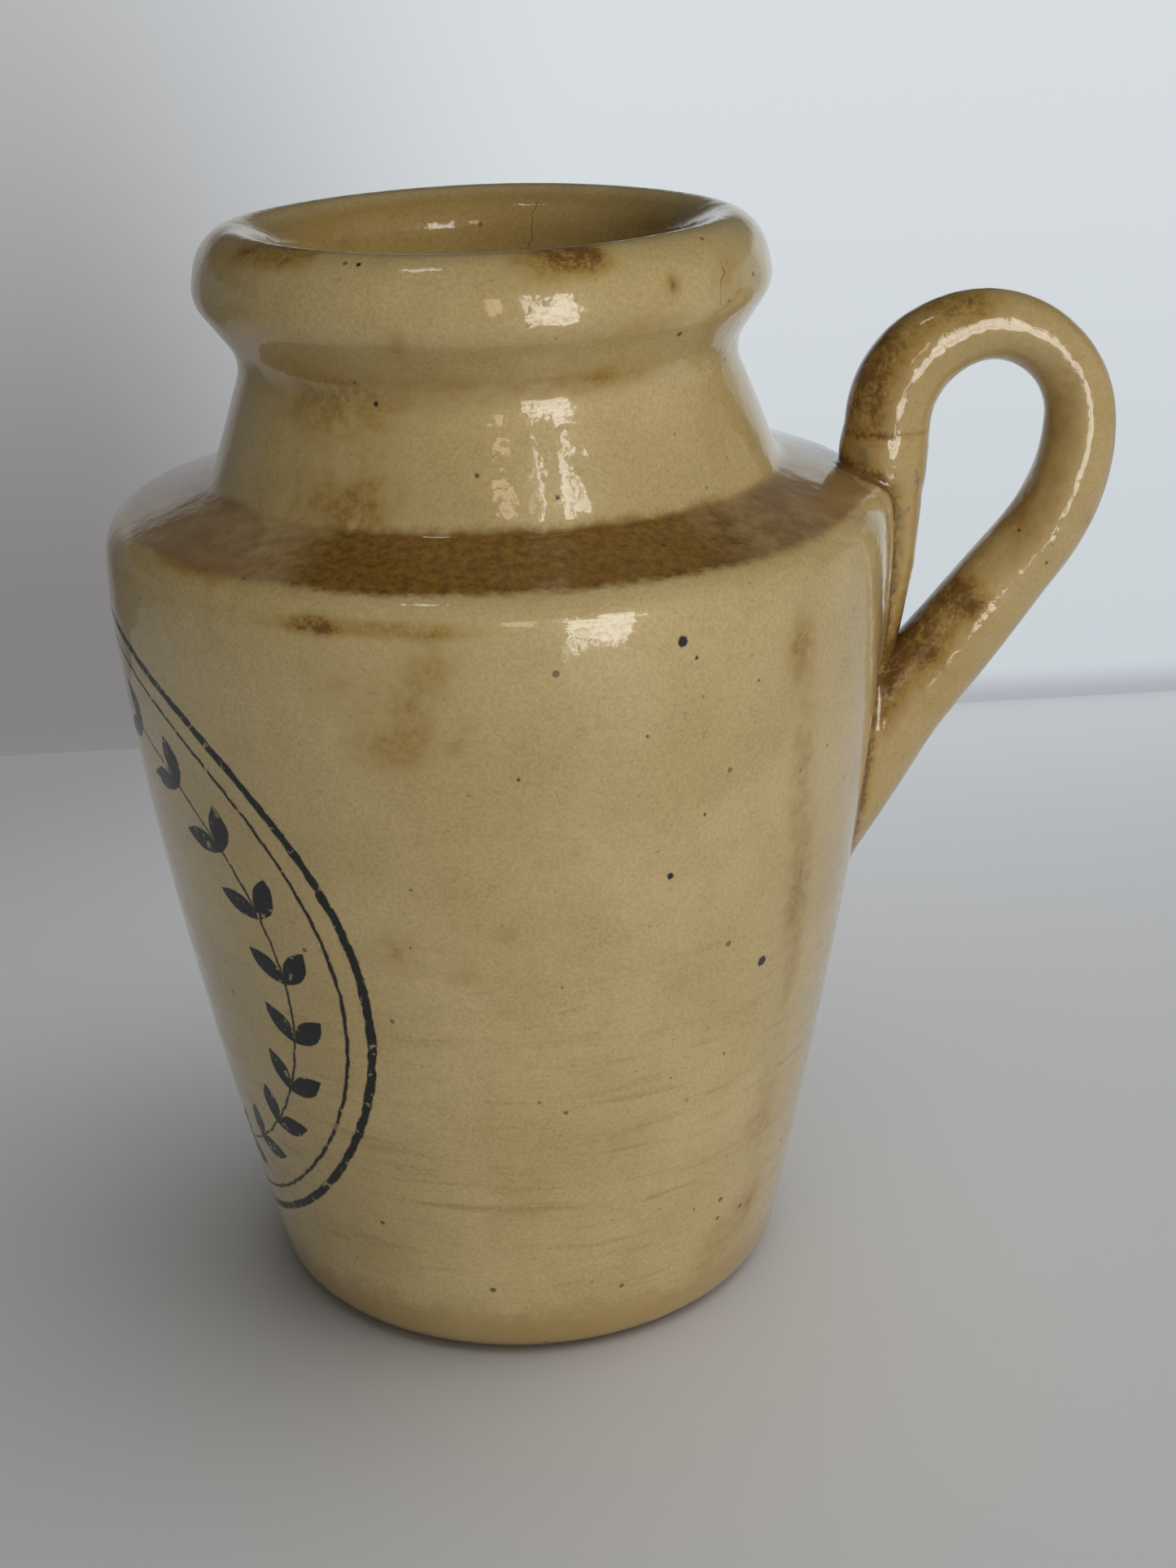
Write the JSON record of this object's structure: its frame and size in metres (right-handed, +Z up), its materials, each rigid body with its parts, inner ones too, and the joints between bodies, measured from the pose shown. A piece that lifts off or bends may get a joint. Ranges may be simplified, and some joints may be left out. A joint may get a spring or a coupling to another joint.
{
  "type": "cream jug",
  "caption": "Small glazed stoneware cream jug: tapering body, flat sloping shoulder, short neck with a rolled rim, and a looped rope handle luted to one side.",
  "frame": {"origin": "middle of the flat underside of the foot", "axes": "+Z up along the vessel's turning axis, +X towards the handle, +Y to the left of the handle seen from behind it"},
  "size_m": [0.1007, 0.0774, 0.1098],
  "materials": {
    "body_glaze": "honey-coloured gloss glaze over buff stoneware, with a mottled brown band on the shoulder",
    "handle_glaze": "the same glaze, browner where it pooled",
    "lute_glaze": "the same glaze over dressed clay, with blue-black patches"
  },
  "bodies": {
    "root": {"jug_body": "body_glaze", "handle": "handle_glaze", "upper_lute": "lute_glaze", "lower_lute": "lute_glaze"}
  },
  "joints": []
}
